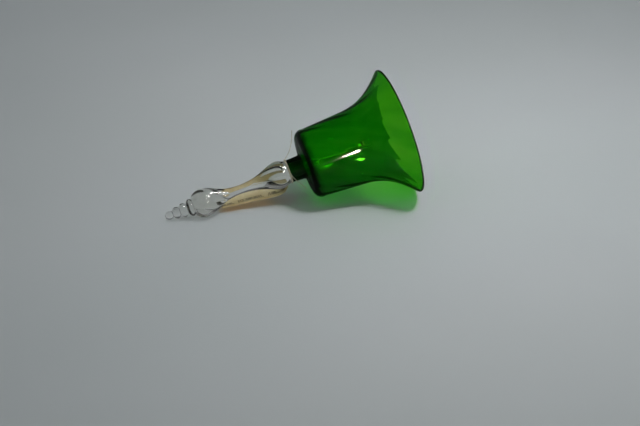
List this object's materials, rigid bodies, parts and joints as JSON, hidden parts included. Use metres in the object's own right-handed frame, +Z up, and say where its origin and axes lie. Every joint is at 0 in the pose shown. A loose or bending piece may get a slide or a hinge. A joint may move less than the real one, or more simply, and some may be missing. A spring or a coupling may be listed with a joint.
{
  "type": "glass hand bell",
  "caption": "Hand bell of green glass with a knopped clear glass handle, a clapper hung inside, a string tie and a paper label.",
  "frame": {"origin": "centre of the rim's plane, on which the bell stands", "axes": "+Z up the bell's axis from the rim to the tip of the handle; the label is at the -X +Y side, and -Y is the side that faces the viewer when the bell lies down"},
  "size_m": [0.156, 0.156, 0.3],
  "materials": {
    "green_glass": "blown, glossy, transparent bottle green",
    "clear_glass": "drawn, glossy, transparent",
    "drop_glass": "glossy, transparent",
    "cement": "dark set resin cement, matt",
    "wire": "dull drawn iron wire",
    "brass_cap": "aged brass",
    "string": "twisted natural thread",
    "label_paper": "aged, oiled, translucent"
  },
  "bodies": {
    "bell": {"bell_shell": "green_glass", "handle": "clear_glass", "neck_cement": "cement", "clapper_staple": "wire", "string_binding": "string", "string_knot": "string", "string_end_rear": "string", "string_end_front": "string", "paper_label": "label_paper"},
    "ring": {"hanger_ring": "wire"},
    "clapper": {"clapper_rod": "wire", "clapper_cap": "brass_cap", "clapper_drop": "drop_glass"}
  },
  "joints": [
    {"name": "ring_swing", "type": "hinge", "parent": "bell", "child": "ring", "pos_m": [0, 0, 0.1145], "axis": [1, 0, 0], "range_deg": [-22.5, 22.5]},
    {"name": "clapper_swing", "type": "hinge", "parent": "ring", "child": "clapper", "pos_m": [0, 0, 0.1083], "axis": [0, 1, 0], "range_deg": [-22.5, 22.5]}
  ]
}
